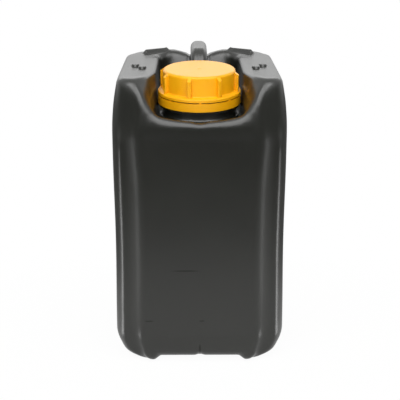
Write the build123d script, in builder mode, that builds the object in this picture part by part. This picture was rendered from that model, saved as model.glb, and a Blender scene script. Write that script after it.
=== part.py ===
"""Motor oil bottle: a blow-moulded stackable can, its screw cap and tamper band. Millimetres, front at -Y."""

import os
from math import cos, hypot, radians, sin, sqrt, tan

from build123d import *

# Can shell
CAN_WIDTH = 146.4
CAN_DEPTH = 190.0
SHOULDER_HEIGHT = 246.0
WALL = 1.6
CORNER_RADIUS = 26.0
FLUTE_RADIUS = 14.0
FLUTE_DEPTH = 3.0
FLUTE_ANGLE = 61.0
FLUTE_EDGE = 2.5
HEEL_HEIGHT = 25.0
HEEL_REACH = 29.0
END_HEEL = 9.0
LEAN_LENGTH = 46.0
LEAN = 5.0
TOP_EDGE = 4.0
END_TOP_EDGE = 7.0

# Channel under the base, front to back, which leaves a foot along each side
CHANNEL_WIDTH = 67.6
CHANNEL_DEPTH = 4.4
CHANNEL_FLANK = 5.8
CHANNEL_CORNER = 2.0
FOOT_EDGE = 3.0

# Trough in the top: open at the front lip, past the neck and under the handle, shallow over the rear rim
TROUGH_DEPTH = 39.0
TROUGH_GAP = 1.5
TROUGH_DRAFT = 2.5
TROUGH_CORNER = 9.0
TROUGH_EDGE = 3.5
LIP_EDGE = 5.0
FLOOR_SAG = 1.5
FLARE_REACH = 8.5
MOUTH_SHOULDER = 8.7
MOUTH_FLOOR_REACH = 2.5
LIP_RISE = 7.5
LIP_MIDDLE_RISE = 2.8
DRIP_DEPTH = 2.0
DRIP_RADIUS = 14.0
DRIP_LENGTH = 30.0
REAR_RIM = 18.0
SCOOP_LENGTH = 24.0
GUTTER_DEPTH = 4.0
GUTTER_FLAT = 5.0
GUTTER_SLOPE = 4.5
GUTTER_CORNER = 2.0
GUTTER_SAG = 0.3

# Handle over the trough
HANDLE_WIDTH = 15.0
HANDLE_THICKNESS = 17.0
HANDLE_RISE = 12.5
HANDLE_ROUNDING = 6.0
HANDLE_ROOT = 4.8
POST_GAP = 3.5
POST_BEND = 14.0
TAIL_BEND = 24.0
TAIL_ANGLE = 60.0
TAIL_REACH = 10.0

# Stacking nubs and ribs on the shoulders
NUB_LENGTH = 11.0
NUB_WIDTH = 7.2
NUB_HEIGHT = 2.2
NUB_DRAFT = 24.0
REAR_NUB_INSET = 17.2
REAR_NUB_SETBACK = 83.0
FRONT_NUB_INSET = 23.8
FRONT_NUB_SETBACK = 71.0
RIB_LENGTH = 32.0
RIB_WIDTH = 8.5
RIB_HEIGHT = 4.2
RIB_DRAFT = 34.0
RIB_INSET = 32.5
RIB_SETBACK = 23.0
RIB_TURN = 54.0

# Neck, measured along its axis from the seat of the tamper band
NECK_SETBACK = 53.5
NECK_DROP = 25.4
NECK_TILT = 5.0
BORE_RADIUS = 25.0
NECK_WALL = 2.1
THREAD_DEPTH = 1.9
BEAD_HEIGHT = 2.4
BEAD_SLOPE = 3.0
SEAT_RING_HEIGHT = 2.5
SEAT_RING_MARGIN = 1.0

# Screw cap, tamper band and liner
THREAD_GAP = 0.4
CAP_WALL = 1.9
CAP_TOP = 2.0
CAP_DRAFT = 0.6
CAP_TOP_EDGE = 2.2
CAP_INNER_EDGE = 0.9
SKIRT_HEIGHT = 16.8
FLANGE_HEIGHT = 3.7
FLANGE_SLOPE = 1.2
FLANGE_REACH = 4.2
GRIP_RIBS = 8
GRIP_RIB_WIDTH = 3.4
GRIP_RIB_DEPTH = 2.9
GRIP_RIB_DROP = 1.0
GRIP_RIB_SLOPE = 2.6
GRIP_RIB_EDGE = 0.8
GRIP_RIB_START = -60.0
BAND_HEIGHT = 7.0
BAND_WALL = 1.7
BAND_GAP = 0.5
BAND_LIP_HEIGHT = 1.6
SLIT = 1.0
BRIDGES = 8
BRIDGE_WIDTH = 1.8
BRIDGE_GAP = 0.15
BRIDGE_START = -89.0
LINER_THICKNESS = 1.5
LINER_GAP = 0.4

# Number of levels that each rounded stretch of a loft passes through
ROUND_STEPS = 5
ROLL_ANGLE = 80.0

# Values that follow from the sizes above
FRONT_Y = -CAN_DEPTH / 2
REAR_Y = CAN_DEPTH / 2
FLOOR_Z = SHOULDER_HEIGHT - TROUGH_DEPTH
LEAN_START = SHOULDER_HEIGHT - LEAN_LENGTH
LIP_Z = FLOOR_Z + LIP_MIDDLE_RISE
NECK_Y = FRONT_Y + NECK_SETBACK
NECK_Z = SHOULDER_HEIGHT - NECK_DROP
NECK_RADIUS = BORE_RADIUS + NECK_WALL
CAP_BORE = NECK_RADIUS + THREAD_DEPTH + THREAD_GAP
CAP_RADIUS = CAP_BORE + CAP_WALL
BAND_RADIUS = CAP_RADIUS + FLANGE_REACH
BAND_BORE = BAND_RADIUS - BAND_WALL
BEAD_RADIUS = BAND_BORE - BAND_GAP
BASE_RADIUS = BEAD_RADIUS - BAND_WALL
FLANGE_START = BAND_HEIGHT + SLIT
SKIRT_START = FLANGE_START + FLANGE_HEIGHT
CAP_HEIGHT = SKIRT_START + SKIRT_HEIGHT
LINER_TOP = CAP_HEIGHT - CAP_TOP
NECK_HEIGHT = LINER_TOP - LINER_THICKNESS
POST_Y = NECK_Y + BAND_RADIUS + POST_GAP + HANDLE_THICKNESS / 2
HANDLE_Z = SHOULDER_HEIGHT + HANDLE_RISE - HANDLE_THICKNESS / 2
TAIL_Y = REAR_Y - REAR_RIM
FLARE_LENGTH = NECK_SETBACK + FLARE_REACH
FLARE_Y = FRONT_Y + FLARE_LENGTH
SCOOP_Y = REAR_Y - REAR_RIM - SCOOP_LENGTH
OVERRUN = 15.0
EDGE_SPILL = 0.4
LEDGE = 10.0
ON_LINE = 1e-4
tilt = radians(NECK_TILT)
neck_place = Plane((0, NECK_Y, NECK_Z), x_dir=(1, 0, 0), z_dir=(0, -sin(tilt), cos(tilt))).location


def can_section(height, side, end, inset):
    """Draw one level section: a rounded rectangle with a flute down each corner."""
    corner = CORNER_RADIUS - (side + end) / 2
    scale = corner / CORNER_RADIUS
    half_x = CAN_WIDTH / 2 - side
    half_y = CAN_DEPTH / 2 - end
    reach = corner + (FLUTE_RADIUS - FLUTE_DEPTH) * scale
    flute_x = half_x - corner + reach * cos(radians(FLUTE_ANGLE))
    flute_y = half_y - corner + reach * sin(radians(FLUTE_ANGLE))
    flute = FLUTE_RADIUS * scale + inset
    with BuildSketch(Plane.XY.offset(height)) as section:
        RectangleRounded(2 * (half_x - inset), 2 * (half_y - inset), corner - inset)
        with GridLocations(2 * flute_x, 2 * flute_y, 2, 2):
            Circle(flute, mode=Mode.SUBTRACT)
        ridges = []
        for point in section.vertices():
            from_flute = hypot(flute_x - abs(point.X), flute_y - abs(point.Y))
            if abs(from_flute - flute) < ON_LINE:
                ridges.append(point)
        fillet(ridges, FLUTE_EDGE * scale)
    return section.sketch


def round_inset(rise, radius):
    """Inset of a quarter-round edge at a height above its lowest line."""
    left = max(radius - rise, 0.0)
    return radius - sqrt(radius**2 - left**2)


def can_block(inset):
    """The can without its trough: rounded heel, straight walls and leaning shoulders."""
    heel_height = HEEL_HEIGHT - inset
    heel_reach = HEEL_REACH - inset
    steps = [step / ROUND_STEPS for step in range(ROUND_STEPS + 1)]
    with BuildPart() as block:
        heel_levels = []
        for share in steps:
            angle = radians(90.0 * share)
            rise = heel_height * (1 - cos(angle))
            side = heel_reach * (1 - sin(angle))
            heel_levels.append(can_section(inset + rise, side, round_inset(rise, END_HEEL - inset), inset))
        loft(heel_levels)
        extrude(can_section(HEEL_HEIGHT, 0, 0, inset), amount=LEAN_START - HEEL_HEIGHT)
        roll_start = SHOULDER_HEIGHT - END_TOP_EDGE
        heights = [LEAN_START + (roll_start - LEAN_START) * share for share in steps]
        heights += [roll_start + (END_TOP_EDGE - inset) * sin(radians(90.0 * share)) for share in steps[1:]]
        top_levels = []
        for level in heights:
            lean = LEAN * ((level - LEAN_START) / LEAN_LENGTH) ** 2
            drop = SHOULDER_HEIGHT - inset - level
            side = lean + round_inset(drop, TOP_EDGE - inset)
            end = lean + round_inset(drop, END_TOP_EDGE - inset)
            top_levels.append(can_section(level, side, end, inset))
        loft(top_levels[: ROUND_STEPS + 1])
        loft(top_levels[ROUND_STEPS:])
    return block.part


def roll_stations(start, radius):
    """Places along Y at which a round edge that begins just ahead of an end wall gets a section."""
    angles = [ROLL_ANGLE * step / ROUND_STEPS for step in range(ROUND_STEPS, -1, -1)]
    return [start + radius * (1 - sin(radians(angle))) for angle in angles]


def front_start(inset):
    """Where the round edges of the lip and the channel meet a plane just ahead of the front wall."""
    return FRONT_Y + inset - EDGE_SPILL


def channel_section(y, inset):
    """Draw one upright section across the base channel: flat top and flanks that roll over at the feet."""
    from_end = min(y - front_start(inset), -front_start(inset) - y)
    grow = inset + round_inset(from_end, END_HEEL - inset)
    top_half = CHANNEL_WIDTH / 2 + grow
    top_z = CHANNEL_DEPTH + grow
    foot_half = top_half + CHANNEL_FLANK
    foot_z = inset - EDGE_SPILL / 2
    ledge_half = foot_half + LEDGE
    below = -OVERRUN
    with BuildSketch(Plane.XZ.offset(-y)) as section:
        with BuildLine():
            Polyline((-ledge_half, below), (-ledge_half, foot_z), (-foot_half, foot_z), (-top_half, top_z))
            Line((-top_half, top_z), (top_half, top_z))
            Polyline((top_half, top_z), (foot_half, foot_z), (ledge_half, foot_z), (ledge_half, below))
            Line((ledge_half, below), (-ledge_half, below))
        make_face()
        fillet(section.vertices().group_by(Axis.Y)[-1], CHANNEL_CORNER + inset)
        rolled = [point for point in section.vertices() if abs(abs(point.X) - foot_half) < ON_LINE]
        fillet(rolled, FOOT_EDGE - inset)
    return section.sketch


def channel(inset):
    """The space under the base between the feet, as one loft from end to end."""
    front = roll_stations(front_start(inset), END_HEEL - inset)
    with BuildPart() as space:
        loft([channel_section(y, inset) for y in front])
        loft([channel_section(-y, inset) for y in reversed(front)])
        extrude(channel_section(-front[-1], inset), amount=-2 * front[-1])
    return space.part


def trough_section(y, inset):
    """Draw one upright section across the trough: sagging floor, round corners, walls that roll over."""
    flare = (max(FLARE_Y - y, 0.0) / FLARE_LENGTH) ** 2
    scoop = min(max(y - SCOOP_Y, 0.0) / SCOOP_LENGTH, 1.0)
    climb = scoop**2 * (3 - 2 * scoop)
    pinch = scoop**3
    grow = inset + round_inset(y - front_start(inset), LIP_EDGE - inset)
    gutter_half = HANDLE_WIDTH / 2 + GUTTER_FLAT
    wall_half = BAND_RADIUS + TROUGH_GAP
    floor_half = wall_half - TROUGH_DEPTH * tan(radians(TROUGH_DRAFT))
    top_half = wall_half + (CAN_WIDTH / 2 - MOUTH_SHOULDER - wall_half) * flare
    top_half += (gutter_half + GUTTER_SLOPE - top_half) * pinch + grow
    floor_half += (BAND_RADIUS + MOUTH_FLOOR_REACH - floor_half) * flare
    floor_half += (gutter_half - floor_half) * pinch + grow
    middle_z = FLOOR_Z + LIP_MIDDLE_RISE * flare + (TROUGH_DEPTH - GUTTER_DEPTH) * climb - grow
    sag = FLOOR_SAG * (1 - climb) + (LIP_RISE - LIP_MIDDLE_RISE) * flare + GUTTER_SAG * climb
    edge_z = middle_z + sag
    corner = TROUGH_CORNER + (GUTTER_CORNER - TROUGH_CORNER) * climb + inset
    roll = TROUGH_EDGE - inset
    ledge_half = top_half + LEDGE
    ledge_z = SHOULDER_HEIGHT - inset + EDGE_SPILL / 2
    above = SHOULDER_HEIGHT + HANDLE_RISE + OVERRUN
    with BuildSketch(Plane.XZ.offset(-y)) as section:
        with BuildLine():
            ThreePointArc((-floor_half, edge_z), (0, middle_z), (floor_half, edge_z))
            for side in (1, -1):
                wall_foot = (side * floor_half, edge_z)
                wall_head = (side * top_half, ledge_z)
                Polyline(wall_foot, wall_head, (side * ledge_half, ledge_z), (side * ledge_half, above))
            Line((ledge_half, above), (-ledge_half, above))
        make_face()
        fillet(section.vertices().group_by(Axis.Y)[0], corner)
        rolled = [point for point in section.vertices() if abs(abs(point.X) - top_half) < ON_LINE]
        fillet(rolled, roll)
    return section.sketch


def trough(inset):
    """The space that the trough takes out of the can: lip edge, flare, straight run, scoop, rear gutter."""
    steps = [step / ROUND_STEPS for step in range(ROUND_STEPS + 1)]
    roll = roll_stations(front_start(inset), LIP_EDGE - inset)
    flare = [roll[-1] + (FLARE_Y - roll[-1]) * share for share in steps]
    scoop = [SCOOP_Y + SCOOP_LENGTH * share for share in steps]
    with BuildPart() as space:
        for stretch in (roll, flare, scoop):
            loft([trough_section(y, inset) for y in stretch])
        extrude(trough_section(SCOOP_Y, inset), amount=SCOOP_Y - FLARE_Y)
        extrude(trough_section(REAR_Y + OVERRUN, inset), amount=REAR_RIM + OVERRUN)
    return space.part


def drip_groove(inset):
    """The shallow groove over the middle of the lip, which leads drops forward."""
    with BuildPart() as groove:
        with BuildSketch(Plane.XZ.offset(-FRONT_Y - DRIP_LENGTH)):
            with Locations((0, LIP_Z - DRIP_DEPTH + DRIP_RADIUS)):
                Circle(DRIP_RADIUS + inset)
        extrude(amount=DRIP_LENGTH + OVERRUN)
    return groove.part


def handle(inset):
    """The bar from the post behind the neck to the rear rim."""
    post_foot = FLOOR_Z - HANDLE_ROOT
    turn = TAIL_BEND * tan(radians(TAIL_ANGLE / 2))
    tail = turn + TAIL_REACH
    tail_corner = TAIL_Y - turn * cos(radians(TAIL_ANGLE))
    tail_end = (tail_corner + tail * cos(radians(TAIL_ANGLE)), HANDLE_Z - tail * sin(radians(TAIL_ANGLE)))
    width = HANDLE_WIDTH - 2 * inset
    thickness = HANDLE_THICKNESS - 2 * inset
    with BuildPart() as bar:
        with BuildLine(Plane.YZ) as path:
            FilletPolyline(
                (POST_Y, post_foot),
                (POST_Y, HANDLE_Z),
                (tail_corner, HANDLE_Z),
                tail_end,
                radius=[POST_BEND, TAIL_BEND],
            )
        with BuildSketch(Plane.XY.offset(post_foot)):
            with Locations((0, POST_Y)):
                RectangleRounded(width, thickness, HANDLE_ROUNDING - inset)
        sweep(path=path.wires()[0])
    return bar.part


def can_form(inset):
    """The can's skin, moved inwards by a wall where it bounds the liquid."""
    with BuildPart() as form:
        add(can_block(inset))
        add(trough(inset), mode=Mode.SUBTRACT)
        add(drip_groove(inset), mode=Mode.SUBTRACT)
        add(channel(inset), mode=Mode.SUBTRACT)
        add(handle(inset))
    return form.part


def turned(outline, soft=()):
    """Revolve a half outline of (radius, height) points into an upright solid, with some corners rounded."""
    with BuildPart() as solid:
        with BuildSketch(Plane.XZ) as half:
            Polygon(*outline, align=None)
            for corner, radius in soft:
                fillet(half.vertices().sort_by_distance(corner)[0], radius)
        revolve(axis=Axis.Z)
    return solid.part


def stacking_marks():
    """Two nubs and one diagonal rib on each shoulder, which locate the can above."""
    with BuildPart() as marks:
        with BuildSketch(Plane.XY.offset(SHOULDER_HEIGHT - WALL)):
            nubs = [(REAR_NUB_INSET, REAR_NUB_SETBACK), (FRONT_NUB_INSET, FRONT_NUB_SETBACK)]
            for nub_inset, setback in nubs:
                nub_x = CAN_WIDTH / 2 - nub_inset
                with Locations((nub_x, FRONT_Y + setback), (-nub_x, FRONT_Y + setback)):
                    Ellipse(NUB_WIDTH / 2, NUB_LENGTH / 2)
        extrude(amount=NUB_HEIGHT + WALL, taper=NUB_DRAFT)
        with BuildSketch(Plane.XY.offset(SHOULDER_HEIGHT - WALL)):
            for side in (1, -1):
                with Locations((side * (CAN_WIDTH / 2 - RIB_INSET), REAR_Y - RIB_SETBACK)):
                    Rectangle(RIB_WIDTH, RIB_LENGTH, rotation=side * RIB_TURN)
        extrude(amount=RIB_HEIGHT + WALL, taper=RIB_DRAFT)
    return marks.part


# Neck: a base that stands on the trough floor, the band's seat, the bead above it and the threaded finish
neck_foot = FLOOR_Z - NECK_Z - BASE_RADIUS * sin(tilt) - WALL
bead_start = BAND_LIP_HEIGHT + BAND_GAP
bead_end = bead_start + BEAD_HEIGHT
base_bore = BASE_RADIUS - NECK_WALL
neck_outline = [
    (0, neck_foot),
    (BASE_RADIUS, neck_foot),
    (BASE_RADIUS, -SEAT_RING_HEIGHT),
    (BAND_RADIUS - SEAT_RING_MARGIN, -SEAT_RING_HEIGHT),
    (BAND_RADIUS - SEAT_RING_MARGIN, 0),
    (BASE_RADIUS, 0),
    (BASE_RADIUS, bead_start),
    (BEAD_RADIUS, bead_start),
    (BEAD_RADIUS, bead_end),
    (NECK_RADIUS, bead_end + BEAD_SLOPE),
    (NECK_RADIUS, NECK_HEIGHT),
    (0, NECK_HEIGHT),
]
bore_outline = [
    (0, neck_foot - BASE_RADIUS),
    (base_bore, neck_foot - BASE_RADIUS),
    (base_bore, bead_start),
    (BORE_RADIUS, bead_end + BEAD_SLOPE),
    (BORE_RADIUS, NECK_HEIGHT + WALL),
    (0, NECK_HEIGHT + WALL),
]

with BuildPart() as can_body:
    add(can_form(0))
    add(stacking_marks())
    with Locations(neck_place):
        add(turned(neck_outline))
    add(can_form(WALL), mode=Mode.SUBTRACT)
    with Locations(neck_place):
        add(turned(bore_outline), mode=Mode.SUBTRACT)
can_body.part.label = "can_body"

# Screw cap: a thin drafted cup with a flared foot, and ribs around its skirt
cap_shoulder = (CAP_RADIUS - CAP_DRAFT, CAP_HEIGHT)
skirt_foot = (CAP_RADIUS, SKIRT_START)
flange_edge = (BAND_RADIUS, SKIRT_START - FLANGE_SLOPE)
cap_outline = [
    (0, CAP_HEIGHT),
    cap_shoulder,
    skirt_foot,
    flange_edge,
    (BAND_RADIUS, FLANGE_START),
    (BAND_BORE, FLANGE_START),
    (CAP_BORE, FLANGE_START + BAND_BORE - CAP_BORE),
    (CAP_BORE, LINER_TOP),
    (0, LINER_TOP),
]
cap_softened = [(cap_shoulder, CAP_TOP_EDGE), (skirt_foot, CAP_INNER_EDGE), (flange_edge, CAP_INNER_EDGE)]
rib_outline = [
    (CAP_BORE + CAP_WALL / 2, FLANGE_START + FLANGE_HEIGHT / 2),
    (CAP_RADIUS + GRIP_RIB_DEPTH, FLANGE_START + FLANGE_HEIGHT / 2),
    (CAP_RADIUS + GRIP_RIB_DEPTH, CAP_HEIGHT - GRIP_RIB_DROP - GRIP_RIB_SLOPE),
    (CAP_RADIUS - CAP_DRAFT, CAP_HEIGHT - GRIP_RIB_DROP),
    (CAP_BORE + CAP_WALL / 2, CAP_HEIGHT - GRIP_RIB_DROP - CAP_TOP_EDGE),
]

with BuildPart() as grip_rib:
    with BuildSketch(Plane.XZ):
        Polygon(*rib_outline, align=None)
    extrude(amount=GRIP_RIB_WIDTH / 2, both=True)
    fillet(grip_rib.edges().filter_by(Axis.Z).sort_by(Axis.X)[-2:], GRIP_RIB_EDGE)

with BuildPart() as screw_cap:
    with Locations(neck_place):
        add(turned(cap_outline, cap_softened))
        with PolarLocations(0, GRIP_RIBS, start_angle=GRIP_RIB_START):
            add(grip_rib.part)
screw_cap.part.label = "screw_cap"

# Tamper band: a ring that hooks under the neck's bead, with thin bridges up to the cap
band_outline = [
    (BAND_RADIUS, 0),
    (BAND_RADIUS, BAND_HEIGHT),
    (BAND_BORE, BAND_HEIGHT),
    (BAND_BORE, BAND_LIP_HEIGHT),
    (BASE_RADIUS + BAND_GAP, BAND_LIP_HEIGHT),
    (BASE_RADIUS + BAND_GAP, 0),
]

with BuildPart() as bridges:
    with BuildSketch(Plane.XY.offset(BAND_HEIGHT)):
        with PolarLocations(BAND_RADIUS - BAND_WALL / 2, BRIDGES, start_angle=BRIDGE_START):
            Rectangle(BAND_WALL / 2, BRIDGE_WIDTH)
    extrude(amount=SLIT - BRIDGE_GAP)

with BuildPart() as tamper_band:
    with Locations(neck_place):
        add(turned(band_outline))
        add(bridges.part)
tamper_band.part.label = "tamper_band"

# Liner: the foam disc that the cap presses on the neck's rim
with BuildPart() as cap_liner:
    with BuildSketch(Plane(neck_place).offset(NECK_HEIGHT)):
        Circle(CAP_BORE - LINER_GAP)
    extrude(amount=LINER_THICKNESS)
cap_liner.part.label = "cap_liner"

os.makedirs("parts", exist_ok=True)
for piece in (can_body, screw_cap, tamper_band, cap_liner):
    export_step(piece.part, f"parts/{piece.part.label}.step")
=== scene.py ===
import math

import bmesh
import bpy
import numpy as np
from mathutils import Matrix, Vector
from mathutils.bvhtree import BVHTree
from mathutils.kdtree import KDTree


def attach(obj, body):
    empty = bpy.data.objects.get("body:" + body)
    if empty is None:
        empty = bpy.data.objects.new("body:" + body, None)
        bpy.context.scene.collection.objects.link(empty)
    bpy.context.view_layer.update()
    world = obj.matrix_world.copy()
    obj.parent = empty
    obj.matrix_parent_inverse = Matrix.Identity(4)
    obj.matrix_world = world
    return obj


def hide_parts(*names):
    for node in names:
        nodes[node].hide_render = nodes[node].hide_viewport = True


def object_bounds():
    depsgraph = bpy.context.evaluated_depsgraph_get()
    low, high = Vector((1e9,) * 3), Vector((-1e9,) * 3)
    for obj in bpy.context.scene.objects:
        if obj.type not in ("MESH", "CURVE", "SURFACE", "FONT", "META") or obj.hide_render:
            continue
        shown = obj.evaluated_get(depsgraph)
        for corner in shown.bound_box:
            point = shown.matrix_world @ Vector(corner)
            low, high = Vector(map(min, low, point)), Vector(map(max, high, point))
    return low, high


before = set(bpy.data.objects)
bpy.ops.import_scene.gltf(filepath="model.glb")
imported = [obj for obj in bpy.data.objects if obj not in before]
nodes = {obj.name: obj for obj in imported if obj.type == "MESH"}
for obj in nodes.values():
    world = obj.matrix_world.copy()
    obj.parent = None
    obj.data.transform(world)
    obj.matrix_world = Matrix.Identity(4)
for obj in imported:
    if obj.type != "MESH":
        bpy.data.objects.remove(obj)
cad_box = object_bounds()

MM = 0.001
scene = bpy.context.scene


def linear(hex_colour):
    """An sRGB hex colour as linear RGBA."""
    channels = [int(hex_colour[i:i + 2], 16) / 255 for i in (1, 3, 5)]
    return [c / 12.92 if c <= 0.04045 else ((c + 0.055) / 1.055) ** 2.4 for c in channels] + [1.0]


def add_node(tree, kind, settings=(), inputs=(), links=()):
    """Adds a node, sets its properties and socket values, and links other nodes' outputs to its sockets."""
    node = tree.nodes.new(kind)
    for name, value in dict(settings).items():
        setattr(node, name, value)
    for socket, value in dict(inputs).items():
        node.inputs[socket].default_value = value
    for socket, output in dict(links).items():
        tree.links.new(output, node.inputs[socket])
    return node


def per_mm(size_mm):
    """Texture scale at which one pattern cell is this many millimetres on Object coordinates in metres."""
    return 1.0 / (size_mm * MM)


def new_material(name):
    """A material with an empty node tree."""
    material = bpy.data.materials.new(name)
    material.use_nodes = True
    material.node_tree.nodes.clear()
    return material, material.node_tree


# Wear and seams on the front wall, in millimetres: middle X, middle Z, half length along X
# and half height along Z
FRONT_MARKS = (
    (0.0, 11.0, 1.2, 8.5),
    (-12.0, 84.8, 14.0, 0.9),
    (-43.5, 39.0, 5.0, 0.8),
    (1.7, 39.0, 3.0, 0.8),
)
FRONT_WALL_Y = -94.0
FRONT_MARK_REACH = 12.0
# Moulding lines along the handle, in millimetres
HANDLE_LINE_PITCH = 4.4
HANDLE_LINE_HALF = 6.0
HANDLE_FOOT_Z = 216.0


def blown_hdpe():
    """Carbon-black blow-moulded HDPE: satin and waxy, with faint clouding, moulding lines and scuffs."""
    material, tree = new_material("blown_hdpe_black")
    place = add_node(tree, "ShaderNodeTexCoord")
    axes = add_node(tree, "ShaderNodeSeparateXYZ", links={"Vector": place.outputs["Object"]})
    grit = add_node(tree, "ShaderNodeTexNoise",
                    inputs={"Scale": per_mm(1.1), "Detail": 3.0, "Roughness": 0.6},
                    links={"Vector": place.outputs["Object"]})
    cloud = add_node(tree, "ShaderNodeTexNoise", inputs={"Scale": per_mm(38.0), "Detail": 2.0},
                     links={"Vector": place.outputs["Object"]})
    tone = add_node(tree, "ShaderNodeMix", settings={"data_type": "RGBA"},
                    inputs={"A": linear("#11120e"), "B": linear("#171813")},
                    links={"Factor": cloud.outputs["Fac"]})
    gloss = add_node(tree, "ShaderNodeMapRange", inputs={"To Min": 0.27, "To Max": 0.34},
                     links={"Value": cloud.outputs["Fac"]})
    # Scuffs and the pinch-off seam take the sheen off in thin soft-ended strokes
    worn = None
    for middle_x, middle_z, half_x, half_z in FRONT_MARKS:
        halves = (half_x, FRONT_MARK_REACH, half_z)
        middle = (middle_x, FRONT_WALL_Y, middle_z)
        stroke = add_node(tree, "ShaderNodeMapping",
                          inputs={"Scale": [per_mm(half) for half in halves],
                                  "Location": [-place_mm / half for place_mm, half in zip(middle, halves)]},
                          links={"Vector": place.outputs["Object"]})
        fade = add_node(tree, "ShaderNodeTexGradient", settings={"gradient_type": "SPHERICAL"},
                        links={"Vector": stroke.outputs["Vector"]})
        earlier = worn.outputs["Value"] if worn else fade.outputs["Fac"]
        worn = add_node(tree, "ShaderNodeMath", settings={"operation": "MAXIMUM"},
                        links={0: fade.outputs["Fac"], 1: earlier})
    dulled = add_node(tree, "ShaderNodeMapRange", inputs={"From Max": 0.5, "To Max": 0.5},
                      links={"Value": worn.outputs["Value"], "To Min": gloss.outputs["Result"]})
    sheen = add_node(tree, "ShaderNodeMapRange", inputs={"From Max": 0.5, "To Min": 0.58, "To Max": 0.36},
                     links={"Value": worn.outputs["Value"]})
    grain = add_node(tree, "ShaderNodeBump", inputs={"Strength": 0.2, "Distance": 0.1 * MM},
                     links={"Height": grit.outputs["Fac"]})
    # Fine lines along the middle of the handle
    across = add_node(tree, "ShaderNodeMath", settings={"operation": "ABSOLUTE"},
                      links={0: axes.outputs["X"]})
    near = add_node(tree, "ShaderNodeMapRange",
                    inputs={"From Min": HANDLE_LINE_HALF * MM, "From Max": 0.8 * HANDLE_LINE_HALF * MM},
                    links={"Value": across.outputs["Value"]})
    above = add_node(tree, "ShaderNodeMath", settings={"operation": "GREATER_THAN"},
                     inputs={1: HANDLE_FOOT_Z * MM}, links={0: axes.outputs["Z"]})
    phase = add_node(tree, "ShaderNodeMath", settings={"operation": "MULTIPLY"},
                     inputs={1: 2.0 * math.pi * per_mm(HANDLE_LINE_PITCH)}, links={0: axes.outputs["X"]})
    wave = add_node(tree, "ShaderNodeMath", settings={"operation": "COSINE"},
                    links={0: phase.outputs["Value"]})
    kept = add_node(tree, "ShaderNodeMath", settings={"operation": "MULTIPLY"},
                    links={0: wave.outputs["Value"], 1: near.outputs["Result"]})
    lines = add_node(tree, "ShaderNodeMath", settings={"operation": "MULTIPLY"},
                     links={0: kept.outputs["Value"], 1: above.outputs["Value"]})
    relief = add_node(tree, "ShaderNodeBump", inputs={"Strength": 0.6, "Distance": 0.3 * MM},
                      links={"Height": lines.outputs["Value"], "Normal": grain.outputs["Normal"]})
    skin = add_node(tree, "ShaderNodeBsdfPrincipled", inputs={"IOR": 1.54},
                    links={"Base Color": tone.outputs["Result"], "Roughness": dulled.outputs["Result"],
                           "Specular IOR Level": sheen.outputs["Result"], "Normal": relief.outputs["Normal"]})
    add_node(tree, "ShaderNodeOutputMaterial", links={"Surface": skin.outputs["BSDF"]})
    return material


def cap_hdpe():
    """Injection-moulded yellow HDPE, drawn opaque though the plastic is slightly translucent: even pigment,
    smooth satin.
    """
    material, tree = new_material("moulded_hdpe_yellow")
    place = add_node(tree, "ShaderNodeTexCoord")
    flow = add_node(tree, "ShaderNodeTexNoise", inputs={"Scale": per_mm(14.0), "Detail": 3.0},
                    links={"Vector": place.outputs["Object"]})
    tone = add_node(tree, "ShaderNodeMix", settings={"data_type": "RGBA"},
                    inputs={"A": linear("#eea406"), "B": linear("#f4ae0e")},
                    links={"Factor": flow.outputs["Fac"]})
    gloss = add_node(tree, "ShaderNodeMapRange", inputs={"To Min": 0.3, "To Max": 0.4},
                     links={"Value": flow.outputs["Fac"]})
    skin = add_node(tree, "ShaderNodeBsdfPrincipled", inputs={"IOR": 1.52, "Specular IOR Level": 0.3},
                    links={"Base Color": tone.outputs["Result"], "Roughness": gloss.outputs["Result"]})
    add_node(tree, "ShaderNodeOutputMaterial", links={"Surface": skin.outputs["BSDF"]})
    return material


def liner_foam():
    """White expanded PE foam: fine closed cells, matt."""
    material, tree = new_material("expanded_pe_foam_white")
    place = add_node(tree, "ShaderNodeTexCoord")
    cells = add_node(tree, "ShaderNodeTexVoronoi", inputs={"Scale": per_mm(0.8)},
                     links={"Vector": place.outputs["Object"]})
    tone = add_node(tree, "ShaderNodeMix", settings={"data_type": "RGBA"},
                    inputs={"A": linear("#e9e8e2"), "B": linear("#f6f5f0")},
                    links={"Factor": cells.outputs["Distance"]})
    relief = add_node(tree, "ShaderNodeBump", inputs={"Strength": 0.4, "Distance": 0.2 * MM},
                      links={"Height": cells.outputs["Distance"]})
    skin = add_node(tree, "ShaderNodeBsdfPrincipled", inputs={"Roughness": 0.7, "IOR": 1.5},
                    links={"Base Color": tone.outputs["Result"], "Normal": relief.outputs["Normal"]})
    add_node(tree, "ShaderNodeOutputMaterial", links={"Surface": skin.outputs["BSDF"]})
    return material


can_plastic = blown_hdpe()
cap_plastic = cap_hdpe()
foam = liner_foam()

for node_name, material in (("screw_cap", cap_plastic), ("tamper_band", cap_plastic), ("cap_liner", foam)):
    nodes[node_name].data.materials.clear()
    nodes[node_name].data.materials.append(material)

# Skin of the can: the step of its mesh, the share of triangles kept, the points that a normal is taken
# from, and rounds of smoothing by region
SKIN_STEP = 1.0 * MM
SKIN_SHARE = 0.3
NORMAL_NEIGHBOURS = 10
SKIN_SMOOTHING = 6
MARK_SMOOTHING = 2
LIP_SMOOTHING = 200
MOUTH_SMOOTHING = 420
# Share of that smoothing at the lip's middle, where the edge is tighter, and at the mouth's cheeks
LIP_TIGHT = 0.45
CHEEK_SHARE = 0.35
# Inner face of the wall: the step of its mesh, the share of triangles kept, and its least depth
# below the skin
WALL_STEP = 2.0 * MM
WALL_SHARE = 0.15
WALL_LEAST = 1.6 * MM
# Points nearer than this are one point
WELD = 2e-6

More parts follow.
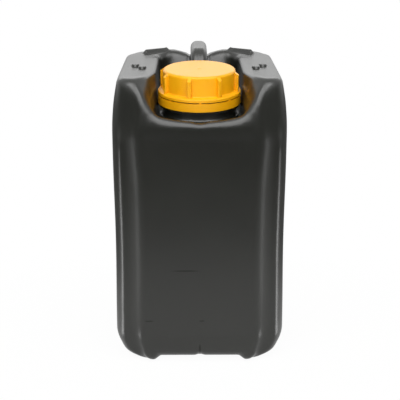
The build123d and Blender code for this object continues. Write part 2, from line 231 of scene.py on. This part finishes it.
# Neck: the seat of the tamper band and the axis that the cap turns about, in the can's frame
NECK_TILT = math.radians(5.0)
NECK_SEAT = Vector((0.0, -41.5, 220.6)) * MM
NECK_PLACE = Matrix.Translation(NECK_SEAT) @ Matrix.Rotation(NECK_TILT, 4, "X")
NECK_AXIS = NECK_PLACE.to_3x3() @ Vector((0.0, 0.0, 1.0))
# The neck is cut off below the seat, inside this radius
NECK_CUT = -4.5 * MM
NECK_CLEAR = 34.9 * MM
# The rim is the level ring above this height and inside this radius
RIM_LEAST = 20.0 * MM
RIM_RADIUS = 28.0 * MM
RIM_LEVEL = 0.99


def neck_polar(point):
    """Radius from the neck's axis and height above the band's seat."""
    from_seat = point - NECK_SEAT
    height = from_seat.dot(NECK_AXIS)
    return (from_seat - NECK_AXIS * height).length, height


def new_piece(name, mesh, material, body):
    """A finished mesh as a piece that moves with a body."""
    piece = bpy.data.objects.new(name, mesh)
    scene.collection.objects.link(piece)
    mesh.materials.clear()
    mesh.materials.append(material)
    mesh.shade_smooth()
    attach(piece, body)
    return piece


def worked(mesh, *steps):
    """The mesh after modifiers, each given as its kind and settings."""
    holder = bpy.data.objects.new("holder", mesh)
    scene.collection.objects.link(holder)
    for kind, settings in steps:
        modifier = holder.modifiers.new(kind, kind)
        for name, value in settings.items():
            setattr(modifier, name, value)
    graph = bpy.context.evaluated_depsgraph_get()
    result = bpy.data.meshes.new_from_object(holder.evaluated_get(graph))
    bpy.data.objects.remove(holder)
    return result


def eased(mesh, width, least_angle):
    """The mesh with its edges rounded where they bend by more than an angle; millimetres and degrees."""
    return worked(mesh, ("BEVEL", {"width": width * MM, "segments": 3, "limit_method": "ANGLE",
                                   "angle_limit": math.radians(least_angle)}))


def can_skins():
    """The can's outer and inner skins, parted at the neck's rim, as two welded forms."""
    outer = bmesh.new()
    outer.from_mesh(nodes["can_body"].data)
    bmesh.ops.remove_doubles(outer, verts=outer.verts, dist=WELD)
    rim = []
    for face in outer.faces:
        radius, height = neck_polar(face.calc_center_median())
        if height > RIM_LEAST and radius < RIM_RADIUS and face.normal.dot(NECK_AXIS) > RIM_LEVEL:
            rim.append(face)
    bmesh.ops.delete(outer, geom=rim, context="FACES")
    lowest = min(outer.verts, key=lambda v: v.co.z)
    reached = {lowest}
    front = [lowest]
    while front:
        for edge in front.pop().link_edges:
            for vert in edge.verts:
                if vert not in reached:
                    reached.add(vert)
                    front.append(vert)
    outer.verts.index_update()
    outside = {vert.index for vert in reached}
    inner = outer.copy()
    inner.verts.ensure_lookup_table()
    bmesh.ops.delete(inner, geom=[v for v in inner.verts if v.index in outside], context="VERTS")
    bmesh.ops.delete(outer, geom=[v for v in outer.verts if v.index not in outside], context="VERTS")
    for skin in (outer, inner):
        bmesh.ops.edgeloop_fill(skin, edges=[e for e in skin.edges if e.is_boundary])
    return outer, inner


def even_mesh(form, step):
    """A closed form as a mesh of even steps."""
    rough = bpy.data.meshes.new("rough")
    form.to_mesh(rough)
    form.free()
    return worked(rough, ("REMESH", {"mode": "VOXEL", "voxel_size": step}))


def tucked_wall(inner, skin):
    """The inner face of the wall, kept below the skin where the skin has softened."""
    wall = even_mesh(inner, WALL_STEP)
    outside = BVHTree.FromPolygons([v.co for v in skin.vertices], [p.vertices for p in skin.polygons])
    for vert in wall.vertices:
        near, normal, _, _ = outside.find_nearest(vert.co)
        if (near - vert.co).dot(normal) < WALL_LEAST:
            vert.co = near - normal * WALL_LEAST
    return worked(wall, ("DECIMATE", {"ratio": WALL_SHARE}))


def soft_window(value, start, end):
    """Eases from 0 at start to 1 at end, which may be the lower of the two."""
    share = np.clip((value - start) / (end - start), 0.0, 1.0)
    return share * share * (3.0 - 2.0 * share)


def smoothed_points(mesh, rounds):
    """The mesh's points in millimetres after some rounds of smoothing."""
    calmed = worked(mesh, ("SMOOTH", {"factor": 0.5, "iterations": rounds}))
    points = np.empty(len(calmed.vertices) * 3)
    calmed.vertices.foreach_get("co", points)
    return points.reshape(-1, 3) / MM


def regional_points(mesh):
    """Smoothed points: crisp at the stacking marks, soft at the lip, the mouth and the rear bowl."""
    points = smoothed_points(mesh, SKIN_SMOOTHING)
    x, y, z = points.T
    wide, deep = np.abs(x), np.abs(y)
    marks = soft_window(z, 243.0, 245.0) * soft_window(y, -50.0, -40.0)
    tight = LIP_TIGHT + (1.0 - LIP_TIGHT) * soft_window(wide, 2.0, 34.0)
    lip = soft_window(y, -74.0, -86.0) * soft_window(z, 188.0, 200.0) * tight
    # The bowl's edge runs slantwise from the trough's wall to the gutter in the rear rim
    from_edge = 0.77 * (wide - 37.0) + 0.64 * (y - 53.0)
    bowl = soft_window(np.abs(from_edge), 11.0, 6.0) * soft_window(wide, 10.0, 14.0)
    bowl *= soft_window(y, 36.0, 46.0) * soft_window(z, 212.0, 222.0)
    marks *= 1.0 - bowl
    # The inner ridge of each front flute is a soft swell
    swell = soft_window(wide, 38.0, 54.0) * soft_window(wide, 65.0, 57.0) * soft_window(y, -80.0, -88.0)
    swell *= soft_window(z, 206.0, 196.0) * soft_window(z, 20.0, 36.0)
    # Flat walls lose the ripples that the even mesh leaves
    ends = soft_window(wide, 46.0, 36.0) * soft_window(deep, 88.0, 92.0) * soft_window(z, 192.0, 180.0)
    sides = soft_window(deep, 74.0, 64.0) * soft_window(wide, 66.0, 70.0) * soft_window(z, 228.0, 216.0)
    walls = np.maximum(ends, sides) * soft_window(z, 30.0, 44.0)
    # The cheeks beside the mouth are softest
    cheek = soft_window(y, -66.0, -82.0) * soft_window(z, 204.0, 218.0) * soft_window(wide, 32.0, 44.0)
    cheek *= CHEEK_SHARE
    crisp = smoothed_points(mesh, MARK_SMOOTHING) - points
    soft = smoothed_points(mesh, LIP_SMOOTHING) - points
    softest = smoothed_points(mesh, MOUTH_SMOOTHING) - points
    softened = np.maximum.reduce([lip, bowl, swell, walls]) * (1.0 - cheek)
    return points + marks[:, None] * crisp + softened[:, None] * soft + cheek[:, None] * softest


# How far the skin moves in blowing and cooling, or is moved back after the smoothing, in millimetres
WAIST_DRAW = 0.8
PANEL_SINK = 0.8
RIDGE_DRAW = 2.4
CORNER_DROOP = 5.0
CORNER_DRAW = 0.8
RIM_SWELL = 1.8
HEEL_SPREAD = 1.2
HANDLE_RISE = 0.8
LIP_RISE = 3.6
MOUTH_DRAW = 3.2
MOUTH_RISE = 1.5
CREASE_DEPTH = 0.9
CREASE_HALF = 1.0
NOTCH_RISE = 1.5
NOTCH_HALF = 2.6
HALF_WIDTH = 73.0


def blown_shape(points):
    """Moves the outer skin's points, in millimetres, as blowing and cooling leave them."""
    x, y, z = points.T
    wide, deep, side = np.abs(x), np.abs(y), np.sign(x)
    move = np.zeros_like(points)
    # The side walls draw in at the waist
    waist = 0.5 * (1.0 + np.cos(np.pi * np.clip((z - 105.0) / 80.0, -1.0, 1.0)))
    move[:, 0] -= WAIST_DRAW * waist * x / HALF_WIDTH
    # The front wall sinks a little below the lip, between the flutes, whose inner ridges draw in
    panel = soft_window(y, -90.0, -94.5) * soft_window(wide, 56.0, 40.0)
    panel *= soft_window(z, 205.0, 195.0) * soft_window(z, 12.0, 26.0)
    move[:, 1] += PANEL_SINK * panel
    ridge = soft_window(wide, 38.0, 52.0) * soft_window(wide, 66.0, 54.0) * soft_window(y, -80.0, -88.0)
    move[:, 0] -= RIDGE_DRAW * ridge * side * soft_window(z, 214.0, 150.0)
    # The rear corners of the shoulders droop, and the rear rim swells beside the gutter
    corner = soft_window(wide, 54.0, 73.0) * soft_window(y, 55.0, 92.0) * soft_window(z, 212.0, 238.0)
    move[:, 2] -= CORNER_DROOP * corner
    move[:, 0] -= CORNER_DRAW * corner * side
    rim = soft_window(wide, 8.5, 12.0) * soft_window(wide, 33.0, 27.0)
    rim *= soft_window(y, 62.0, 76.0) * soft_window(z, 232.0, 243.0)
    move[:, 2] += RIM_SWELL * rim
    # The heel keeps its full width and the handle its full height through the smoothing
    heel = soft_window(wide, 36.0, 48.0) * soft_window(z, 14.0, 6.0) * soft_window(y, -60.0, -80.0)
    move[:, 0] += HEEL_SPREAD * heel * side
    move[:, 2] += HANDLE_RISE * soft_window(z, 247.0, 256.0) * soft_window(wide, 12.0, 9.0)
    # The lip and the edges of the mouth keep their place through the heavier smoothing
    middle = soft_window(wide, 48.0, 38.0)
    lip = soft_window(y, -78.0, -90.0) * soft_window(z, 194.0, 206.0) * middle
    move[:, 2] += LIP_RISE * lip
    mouth = soft_window(y, -48.0, -74.0) * soft_window(z, 198.0, 222.0) * soft_window(z, 254.0, 232.0)
    mouth *= soft_window(wide, 28.0, 46.0) * soft_window(wide, 74.0, 56.0)
    move[:, 0] -= MOUTH_DRAW * mouth * side
    move[:, 2] += MOUTH_RISE * mouth * (1.0 - middle)
    # Pinch-off: a crease at the foot of the front and rear walls, with a notch in the bottom edge
    ends = soft_window(deep, 86.0, 90.0)
    crease = np.exp(-(x / CREASE_HALF) ** 2) * soft_window(z, 19.0, 15.0) * ends
    notch = np.exp(-(x / NOTCH_HALF) ** 2) * soft_window(z, 14.0, 6.0) * ends
    move[:, 1] -= CREASE_DEPTH * crease * np.sign(y)
    move[:, 2] += NOTCH_RISE * notch
    return points + move


def cut_neck(shell):
    """Cuts the neck off both skins below the band's seat and closes the wall's cut edge."""
    near = []
    for face in shell.faces:
        radius, height = neck_polar(face.calc_center_median())
        if radius < NECK_CLEAR and height > 2.0 * NECK_CUT:
            near.append(face)
    parts = {item for face in near for item in (face, *face.edges, *face.verts)}
    bmesh.ops.bisect_plane(shell, geom=list(parts), dist=1e-7, plane_co=NECK_SEAT + NECK_AXIS * NECK_CUT,
                           plane_no=NECK_AXIS)
    above = []
    for face in shell.faces:
        radius, height = neck_polar(face.calc_center_median())
        if radius < NECK_CLEAR and height > NECK_CUT:
            above.append(face)
    bmesh.ops.delete(shell, geom=above, context="FACES")
    bmesh.ops.triangle_fill(shell, use_beauty=True, edges=[e for e in shell.edges if e.is_boundary])
    bmesh.ops.recalc_face_normals(shell, faces=shell.faces)


def keep_normals(mesh, even):
    """Gives the thinned skin the normals of the even mesh, so that its flat walls mirror without ripples."""
    mesh.shade_smooth()
    places = KDTree(len(even.vertices))
    for vert in even.vertices:
        places.insert(vert.co, vert.index)
    places.balance()
    normals = []
    for vert in mesh.vertices:
        found = places.find_n(vert.co, NORMAL_NEIGHBOURS)
        if found[0][2] < SKIN_STEP:
            total = sum((even.vertices[index].normal for _, index, _ in found), Vector((0.0, 0.0, 0.0)))
            normals.append(total.normalized())
        else:
            normals.append(vert.normal.copy())
    mesh.normals_split_custom_set_from_vertices(normals)


def can_shell():
    """The can with the soft edges of blown plastic outside and the wall's inner face inside."""
    outer, inner = can_skins()
    even = even_mesh(outer, SKIN_STEP)
    points = blown_shape(regional_points(even)) * MM
    points = np.clip(points, np.array(cad_box[0]), np.array(cad_box[1]))
    even.vertices.foreach_set("co", points.ravel())
    even.update()
    skin = worked(even, ("DECIMATE", {"ratio": SKIN_SHARE}))
    shell = bmesh.new()
    shell.from_mesh(skin)
    shell.from_mesh(tucked_wall(inner, even))
    cut_neck(shell)
    mesh = bpy.data.meshes.new("can_shell")
    shell.to_mesh(mesh)
    shell.free()
    keep_normals(mesh, even)
    return mesh


# Turned pieces: steps round the axis, and the bend at which an edge is eased
RING_STEPS = 128
RING_EDGE_ANGLE = 25.0


def turned_ring(name, outline, edge_width):
    """A closed outline of (radius, height) in millimetres, turned about the neck's axis and eased."""
    form = bmesh.new()
    corners = [form.verts.new((radius * MM, 0.0, height * MM)) for radius, height in outline]
    edges = [form.edges.new((corners[i - 1], corners[i])) for i in range(len(corners))]
    bmesh.ops.spin(form, geom=corners + edges, cent=(0, 0, 0), axis=(0, 0, 1), angle=2.0 * math.pi,
                   steps=RING_STEPS, use_merge=True)
    bmesh.ops.remove_doubles(form, verts=form.verts, dist=WELD)
    bmesh.ops.recalc_face_normals(form, faces=form.faces)
    bmesh.ops.transform(form, matrix=NECK_PLACE, verts=form.verts)
    mesh = bpy.data.meshes.new(name)
    form.to_mesh(mesh)
    form.free()
    return eased(mesh, edge_width, RING_EDGE_ANGLE)


# The neck from below the cut up to the rim: foot, band's seat, bead, threaded length and bore
neck_outline = [
    (29.45, -6.0), (31.65, -6.0), (31.65, -2.5), (34.5, -2.5), (34.5, -0.05), (31.6, -0.05), (31.6, 2.1),
    (33.3, 2.1), (33.3, 4.5), (32.7, 7.3), (27.1, 9.6), (27.1, 25.0), (25.0, 25.0), (25.0, 7.5), (29.45, 2.1),
]
shell = new_piece("can_shell", can_shell(), can_plastic, "can")
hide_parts("can_body")
new_piece("neck_finish", turned_ring("neck_finish", neck_outline, 0.35), can_plastic, "can")

# Stacking nubs on the shoulders: flat-topped ovals with drafted sides, in millimetres
NUB_PLACES = ((56.0, -12.0), (49.4, -24.0))
NUB_BASE_Z = 245.6
NUB_TOP_Z = 248.2
NUB_EDGE = 0.4
NUB_EDGE_ANGLE = 40.0


def nub_nodes():
    """Geometry nodes that set a drafted oval nub on every point."""
    tree = bpy.data.node_groups.new("stacking_nubs", "GeometryNodeTree")
    tree.interface.new_socket("Places", in_out="INPUT", socket_type="NodeSocketGeometry")
    for name in ("Base Radius", "Top Radius", "Height", "Stretch"):
        tree.interface.new_socket(name, in_out="INPUT", socket_type="NodeSocketFloat")
    tree.interface.new_socket("Material", in_out="INPUT", socket_type="NodeSocketMaterial")
    tree.interface.new_socket("Geometry", in_out="OUTPUT", socket_type="NodeSocketGeometry")
    given = add_node(tree, "NodeGroupInput").outputs
    nub = add_node(tree, "GeometryNodeMeshCone", inputs={"Vertices": 48},
                   links={"Radius Bottom": given["Base Radius"], "Radius Top": given["Top Radius"],
                          "Depth": given["Height"]})
    oval = add_node(tree, "ShaderNodeCombineXYZ", inputs={"X": 1.0, "Z": 1.0}, links={"Y": given["Stretch"]})
    placed = add_node(tree, "GeometryNodeInstanceOnPoints",
                      links={"Points": given["Places"], "Instance": nub.outputs["Mesh"],
                             "Scale": oval.outputs["Vector"]})
    solid = add_node(tree, "GeometryNodeRealizeInstances", links={"Geometry": placed.outputs["Instances"]})
    coated = add_node(tree, "GeometryNodeSetMaterial",
                      links={"Geometry": solid.outputs["Geometry"], "Material": given["Material"]})
    add_node(tree, "NodeGroupOutput", links={"Geometry": coated.outputs["Geometry"]})
    return tree


def grown(name, tree, settings, points=()):
    """The mesh that a geometry node tree makes from these inputs and points, baked."""
    start = bpy.data.meshes.new("start")
    start.from_pydata(points, [], [])
    holder = bpy.data.objects.new(name, start)
    scene.collection.objects.link(holder)
    modifier = holder.modifiers.new("nodes", "NODES")
    modifier.node_group = tree
    for socket in tree.interface.items_tree:
        if socket.in_out == "INPUT" and socket.name in settings:
            modifier[socket.identifier] = settings[socket.name]
    graph = bpy.context.evaluated_depsgraph_get()
    mesh = bpy.data.meshes.new_from_object(holder.evaluated_get(graph))
    bpy.data.objects.remove(holder)
    mesh.name = name
    return mesh


nub_sizes = {"Base Radius": 4.0 * MM, "Top Radius": 3.2 * MM, "Height": (NUB_TOP_Z - NUB_BASE_Z) * MM,
             "Stretch": 1.5, "Material": can_plastic}
nub_points = [(side * x * MM, y * MM, NUB_BASE_Z * MM) for side in (-1, 1) for x, y in NUB_PLACES]
nubs = grown("stacking_nubs", nub_nodes(), nub_sizes, nub_points)
nubs = eased(nubs, NUB_EDGE, NUB_EDGE_ANGLE)
new_piece("stacking_nubs", nubs, can_plastic, "can")

# Screw thread: a rounded rib on a helix, right-handed, with the pitch of the cap's lift
THREAD_PITCH = 6.0 * MM


def thread_nodes():
    """Geometry nodes that sweep a round rib along a helix and fade it out at both ends."""
    tree = bpy.data.node_groups.new("screw_thread", "GeometryNodeTree")
    for name in ("Radius", "Rib", "Start", "Turns", "Pitch"):
        tree.interface.new_socket(name, in_out="INPUT", socket_type="NodeSocketFloat")
    tree.interface.new_socket("Material", in_out="INPUT", socket_type="NodeSocketMaterial")
    tree.interface.new_socket("Geometry", in_out="OUTPUT", socket_type="NodeSocketGeometry")
    given = add_node(tree, "NodeGroupInput").outputs
    height = add_node(tree, "ShaderNodeMath", settings={"operation": "MULTIPLY"},
                      links={0: given["Turns"], 1: given["Pitch"]})
    helix = add_node(tree, "GeometryNodeCurveSpiral", inputs={"Resolution": 72, "Reverse": True},
                     links={"Rotations": given["Turns"], "Start Radius": given["Radius"],
                            "End Radius": given["Radius"], "Height": height.outputs["Value"]})
    upright = add_node(tree, "GeometryNodeSetCurveNormal", settings={"mode": "Z_UP"},
                       links={"Curve": helix.outputs["Curve"]})
    along = add_node(tree, "GeometryNodeSplineParameter")
    from_end = add_node(tree, "ShaderNodeMath", settings={"operation": "PINGPONG"}, inputs={1: 0.5},
                        links={0: along.outputs["Factor"]})
    fade = add_node(tree, "ShaderNodeMapRange", inputs={"From Max": 0.1, "To Min": 0.1},
                    links={"Value": from_end.outputs["Value"]})
    rib = add_node(tree, "GeometryNodeCurvePrimitiveCircle", inputs={"Resolution": 12},
                   links={"Radius": given["Rib"]})
    swept = add_node(tree, "GeometryNodeCurveToMesh", inputs={"Fill Caps": True},
                     links={"Curve": upright.outputs["Curve"], "Profile Curve": rib.outputs["Curve"],
                            "Scale": fade.outputs["Result"]})
    lift = add_node(tree, "ShaderNodeCombineXYZ", links={"Z": given["Start"]})
    placed = add_node(tree, "GeometryNodeTransform",
                      links={"Geometry": swept.outputs["Mesh"], "Translation": lift.outputs["Vector"]})
    real = add_node(tree, "GeometryNodeRealizeInstances", links={"Geometry": placed.outputs["Geometry"]})
    coated = add_node(tree, "GeometryNodeSetMaterial",
                      links={"Geometry": real.outputs["Geometry"], "Material": given["Material"]})
    add_node(tree, "NodeGroupOutput", links={"Geometry": coated.outputs["Geometry"]})
    return tree


screw_thread = thread_nodes()


def thread_mesh(name, settings):
    """The thread with these inputs, set on the neck's axis."""
    mesh = grown(name, screw_thread, settings)
    mesh.transform(NECK_PLACE)
    return mesh


neck_thread = {"Radius": 27.1 * MM, "Rib": 1.6 * MM, "Start": 11.6 * MM, "Turns": 1.75,
               "Pitch": THREAD_PITCH, "Material": can_plastic}
cap_thread = {"Radius": 29.4 * MM, "Rib": 1.1 * MM, "Start": 14.6 * MM, "Turns": 1.25,
              "Pitch": THREAD_PITCH, "Material": cap_plastic}
new_piece("neck_thread", thread_mesh("neck_thread", neck_thread), can_plastic, "can")
new_piece("cap_thread", thread_mesh("cap_thread", cap_thread), cap_plastic, "cap")

# Gate mark: the ring that the moulding gate leaves in the middle of the cap's top
gate_outline = [(0.8, 28.2), (1.9, 28.2), (1.9, 28.62), (0.8, 28.62)]
new_piece("gate_mark", turned_ring("gate_mark", gate_outline, 0.15), cap_plastic, "cap")


# Floor: white to the camera, with a faint shadow kept near the can, and a pool of light in reflections.
# The pool's middle is ahead of the can and it is stretched to the sides. Lengths in metres.
FLOOR_HALF = 6.0
FLOOR_GLOW = 0.95
POOL_SQUEEZE = (0.5, 1.0, 1.0)
POOL_AHEAD = 0.20
POOL_EDGE = 0.06
POOL_END = 0.40
POOL_BRIGHT = 0.95
POOL_DIM = 0.18


def studio_floor():
    """The pale floor. Near the can a little of it is paper, which takes the shadow."""
    mesh = bpy.data.meshes.new("floor")
    corners = [(x * FLOOR_HALF, y * FLOOR_HALF, 0.0) for x, y in ((-1, -1), (1, -1), (1, 1), (-1, 1))]
    mesh.from_pydata(corners, [], [(0, 1, 2, 3)])
    floor = bpy.data.objects.new("floor", mesh)
    scene.collection.objects.link(floor)
    material, tree = new_material("floor_paper")
    place = add_node(tree, "ShaderNodeTexCoord")
    oval = add_node(tree, "ShaderNodeVectorMath", settings={"operation": "MULTIPLY_ADD"},
                    inputs={1: POOL_SQUEEZE, 2: (0.0, POOL_AHEAD, 0.0)},
                    links={0: place.outputs["Object"]})
    reach = add_node(tree, "ShaderNodeVectorMath", settings={"operation": "LENGTH"},
                     links={0: oval.outputs["Vector"]})
    pool = add_node(tree, "ShaderNodeMapRange", settings={"interpolation_type": "SMOOTHSTEP"},
                    inputs={"From Min": POOL_EDGE, "From Max": POOL_END,
                            "To Min": POOL_BRIGHT, "To Max": POOL_DIM},
                    links={"Value": reach.outputs["Value"]})
    path = add_node(tree, "ShaderNodeLightPath")
    strength = add_node(tree, "ShaderNodeMix", inputs={"B": 1.0},
                        links={"Factor": path.outputs["Is Camera Ray"], "A": pool.outputs["Result"]})
    mirrored = add_node(tree, "ShaderNodeMath", settings={"operation": "MAXIMUM"},
                        links={0: path.outputs["Is Camera Ray"], 1: path.outputs["Is Glossy Ray"]})
    seen = add_node(tree, "ShaderNodeMath", settings={"operation": "MAXIMUM"},
                    links={0: mirrored.outputs["Value"], 1: path.outputs["Is Transmission Ray"]})
    lit = add_node(tree, "ShaderNodeMapRange",
                   inputs={"From Min": POOL_EDGE, "From Max": POOL_END, "To Min": FLOOR_GLOW, "To Max": 1.0},
                   links={"Value": reach.outputs["Value"]})
    share = add_node(tree, "ShaderNodeMath", settings={"operation": "MULTIPLY"},
                     links={0: seen.outputs["Value"], 1: lit.outputs["Result"]})
    paper = add_node(tree, "ShaderNodeBsdfDiffuse", inputs={"Color": linear("#f4f4f2")})
    glow = add_node(tree, "ShaderNodeEmission", links={"Strength": strength.outputs["Result"]})
    mixed = add_node(tree, "ShaderNodeMixShader",
                     links={"Fac": share.outputs["Value"], 1: paper.outputs["BSDF"],
                            2: glow.outputs["Emission"]})
    add_node(tree, "ShaderNodeOutputMaterial", links={"Surface": mixed.outputs["Shader"]})
    mesh.materials.append(material)


# World: white to the camera, even fill for diffuse light, and in reflections bright above and behind the can
WORLD_FILL = 0.15
WORLD_DIM = 0.15


def studio_world():
    """The studio round the can."""
    world = bpy.data.worlds.new("studio")
    scene.world = world
    world.use_nodes = True
    tree = world.node_tree
    tree.nodes.clear()
    path = add_node(tree, "ShaderNodeLightPath")
    place = add_node(tree, "ShaderNodeTexCoord")
    axes = add_node(tree, "ShaderNodeSeparateXYZ", links={"Vector": place.outputs["Generated"]})
    behind = add_node(tree, "ShaderNodeMapRange", settings={"interpolation_type": "SMOOTHSTEP"},
                      inputs={"From Min": -0.1, "From Max": 0.6, "To Min": WORLD_DIM, "To Max": 1.0},
                      links={"Value": axes.outputs["Y"]})
    above = add_node(tree, "ShaderNodeMapRange", settings={"interpolation_type": "SMOOTHSTEP"},
                     inputs={"From Min": 0.1, "From Max": 0.6, "To Min": WORLD_DIM, "To Max": 1.0},
                     links={"Value": axes.outputs["Z"]})
    mirrored = add_node(tree, "ShaderNodeMath", settings={"operation": "MAXIMUM"},
                        links={0: behind.outputs["Result"], 1: above.outputs["Result"]})
    seen = add_node(tree, "ShaderNodeMath", settings={"operation": "MAXIMUM"},
                    links={0: mirrored.outputs["Value"], 1: path.outputs["Is Camera Ray"]})
    strength = add_node(tree, "ShaderNodeMix", inputs={"B": WORLD_FILL},
                        links={"Factor": path.outputs["Is Diffuse Ray"], "A": seen.outputs["Value"]})
    sky = add_node(tree, "ShaderNodeBackground", inputs={"Color": (1, 1, 1, 1)},
                   links={"Strength": strength.outputs["Result"]})
    add_node(tree, "ShaderNodeOutputWorld", links={"Surface": sky.outputs["Background"]})


def softbox(name, place, long_side, facing, width, length, radiance):
    """A rectangular lamp of even radiance: its middle, the way its long side runs and the way it faces."""
    lamp = bpy.data.lights.new(name, "AREA")
    lamp.shape = "RECTANGLE"
    lamp.size = width
    lamp.size_y = length
    lamp.energy = radiance * math.pi * width * length
    holder = bpy.data.objects.new(name, lamp)
    back = -Vector(facing).normalized()
    across = Vector(long_side).cross(back).normalized()
    turned = Matrix((across, back.cross(across), back)).transposed().to_4x4()
    holder.matrix_world = Matrix.Translation(place) @ turned
    scene.collection.objects.link(holder)


def towards(azimuth, elevation):
    """Direction at an angle from the front, to the right, and an angle above the floor, in degrees."""
    turn = math.radians(azimuth)
    rise = math.radians(elevation)
    return Vector((math.sin(turn) * math.cos(rise), -math.cos(turn) * math.cos(rise), math.sin(rise)))


MOUTH = Vector((0.0, -0.09, 0.22))
RIGHT = Vector((1.0, 0.0, 0.0))
UP = Vector((0.0, 0.0, 1.0))
# Softboxes: angle from the front, angle above the floor, distance from the mouth, width, length, radiance
KEY_BOX = (0.0, 51.0, 1.3, 1.7, 1.8, 2.9)
REAR_BOX = (180.0, 25.0, 1.8, 0.5, 2.2, 1.4)
LEFT_BOX = (-52.0, 50.0, 1.2, 0.5, 0.5, 1.8)
RIGHT_BOX = (52.0, 50.0, 1.2, 0.5, 0.5, 1.8)
# Bright strip on the floor beside each front corner, in lengths that widen outwards: distance from its
# start, length and width
STRIP_LENGTHS = ((0.08, 0.08, 0.036), (0.21, 0.18, 0.09), (0.50, 0.40, 0.21))
STRIP_START = Vector((0.068, -0.08, 0.002))
STRIP_ANGLE = 84.0
STRIP_RADIANCE = 4.0


def hung_softbox(name, long_side, azimuth, elevation, distance, width, length, radiance):
    """A softbox that faces the trough's mouth."""
    way = towards(azimuth, elevation)
    softbox(name, MOUTH + distance * way, long_side, -way, width, length, radiance)


studio_floor()
studio_world()
hung_softbox("key_softbox", RIGHT, *KEY_BOX)
hung_softbox("rear_softbox", RIGHT, *REAR_BOX)
for side, side_box in ((-1, LEFT_BOX), (1, RIGHT_BOX)):
    hung_softbox("side_softbox", UP, *side_box)
    corner = Vector((side * STRIP_START.x, STRIP_START.y, STRIP_START.z))
    away = towards(side * STRIP_ANGLE, 0.0)
    for distance, length, width in STRIP_LENGTHS:
        softbox("floor_strip", corner + distance * away, away, UP, width, length, STRIP_RADIANCE)

# Camera close to the middle plane, a little left of it, looking down at the photograph's angle; degrees
FOCAL_PX = 987.0
IMAGE_PX = 400.0
CAMERA_PLACE = (-0.0065, -0.878, 0.3797)
CAMERA_DOWN = 16.5
CAMERA_TURN = -0.485
camera = bpy.data.cameras.new("camera")
camera.sensor_width = 36.0
camera.lens = camera.sensor_width * FOCAL_PX / IMAGE_PX
eye = bpy.data.objects.new("camera", camera)
eye.location = CAMERA_PLACE
eye.rotation_euler = (math.radians(90.0 - CAMERA_DOWN), 0.0, math.radians(CAMERA_TURN))
scene.collection.objects.link(eye)
scene.camera = eye
scene.view_settings.view_transform = "Standard"
